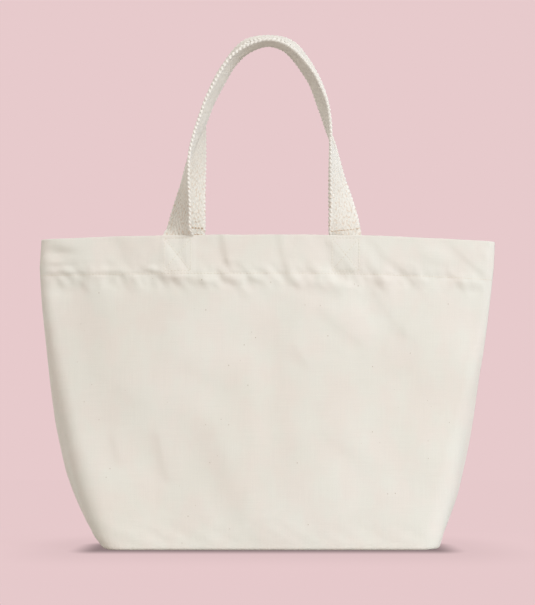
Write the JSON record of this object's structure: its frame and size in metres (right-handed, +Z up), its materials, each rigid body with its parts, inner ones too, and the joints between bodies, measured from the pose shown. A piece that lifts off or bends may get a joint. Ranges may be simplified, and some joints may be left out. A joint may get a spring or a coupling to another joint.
{
  "type": "canvas tote bag",
  "caption": "Undyed canvas tote bag with a boxed bottom, a stitched turned hem and webbing carrying handles.",
  "frame": {"origin": "middle of the base, on the surface that the bag stands on", "axes": "+X to the bag's right as seen from its front, +Y from its front to its back, +Z up"},
  "size_m": [0.464, 0.1326, 0.5303],
  "materials": {
    "canvas": "undyed plain-weave cotton canvas, matt",
    "webbing": "undyed herringbone cotton webbing, matt",
    "thread": "undyed cotton sewing thread"
  },
  "bodies": {
    "bag": {"front_panel": "canvas", "front_hem": "canvas", "front_hem_stitching": "thread", "front_left_strap_end": "webbing", "front_left_box_stitching": "thread", "front_right_strap_end": "webbing", "front_right_box_stitching": "thread", "back_panel": "canvas", "back_hem": "canvas", "back_hem_stitching": "thread", "back_left_strap_end": "webbing", "back_left_box_stitching": "thread", "back_right_strap_end": "webbing", "back_right_box_stitching": "thread", "left_side_seam": "canvas", "left_side_overlock": "thread", "left_corner_seam": "canvas", "left_corner_overlock": "thread", "right_side_seam": "canvas", "right_side_overlock": "thread", "right_corner_seam": "canvas", "right_corner_overlock": "thread", "base_seam": "canvas", "base_overlock": "thread"},
    "front_handle": {"front_handle": "webbing"},
    "back_handle": {"back_handle": "webbing"}
  },
  "joints": [
    {"name": "front_handle_swing", "type": "hinge", "parent": "bag", "child": "front_handle", "pos_m": [0, -0.0263, 0.322], "axis": [1, 0, 0], "range_deg": [-3, 140]},
    {"name": "back_handle_swing", "type": "hinge", "parent": "bag", "child": "back_handle", "pos_m": [0, 0.0266, 0.322], "axis": [-1, 0, 0], "range_deg": [-3, 140]}
  ]
}
